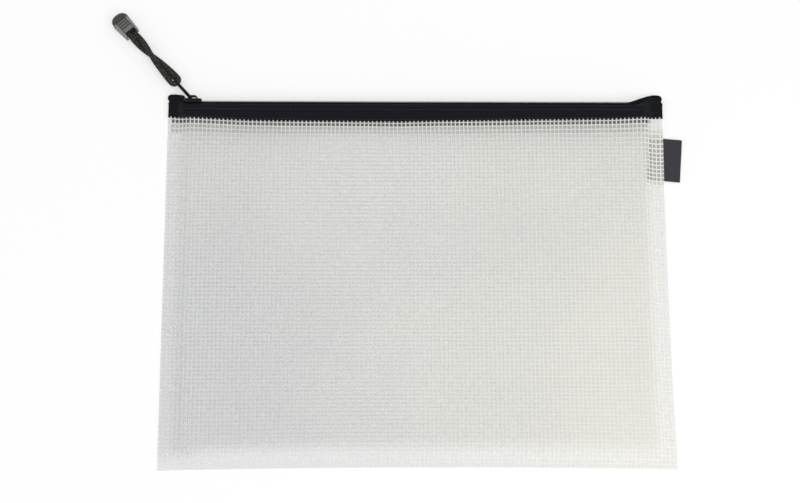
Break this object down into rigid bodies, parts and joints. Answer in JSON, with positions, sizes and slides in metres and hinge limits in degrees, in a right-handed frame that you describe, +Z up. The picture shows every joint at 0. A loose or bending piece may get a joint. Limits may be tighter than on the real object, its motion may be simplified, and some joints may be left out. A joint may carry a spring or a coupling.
{
  "type": "zip document wallet",
  "caption": "Flat translucent mesh-film wallet for A4 sheets, closed along the top by a coil zip whose slider carries a ring, a looped cord and a moulded grip.",
  "frame": {"origin": "centre of the resting face of the back panel", "axes": "+X along the zip to the right, +Y from the bottom seam towards the zip, +Z up out of the resting face"},
  "size_m": [0.3933, 0.3138, 0.0099],
  "materials": {
    "mesh_film": "milky translucent film over a white yarn grid",
    "zip_tape": "woven polyester tape",
    "zip_coil": "nylon monofilament",
    "slider_enamel": "black enamel",
    "braided_cord": "braided polyester",
    "moulded_grip": "fine matte moulding",
    "woven_label": "woven satin"
  },
  "bodies": {
    "wallet": {"back_panel": "mesh_film", "front_panel": "mesh_film", "front_tape": "zip_tape", "rear_tape": "zip_tape", "front_coil": "zip_coil", "rear_coil": "zip_coil", "side_label": "woven_label"},
    "slider": {"slider_body": "slider_enamel"},
    "puller": {"puller_ring": "slider_enamel"},
    "cord_pull": {"cord_loop": "braided_cord", "pull_grip": "moulded_grip"}
  },
  "joints": [
    {"name": "zip_slide", "type": "slide", "parent": "wallet", "child": "slider", "axis": [1, 0, 0], "range_m": [0, 0.294], "deforming": ["front_coil", "rear_coil"]},
    {"name": "puller_swing", "type": "hinge", "parent": "slider", "child": "puller", "pos_m": [-0.15395, 0.12725, 0.00495], "axis": [0, 0, 1], "range_deg": [-106, 12]},
    {"name": "cord_lift", "type": "hinge", "parent": "puller", "child": "cord_pull", "pos_m": [-0.16409, 0.13851, 0.00495], "axis": [0.7431, 0.6691, 0], "range_deg": [-70, 85]}
  ]
}
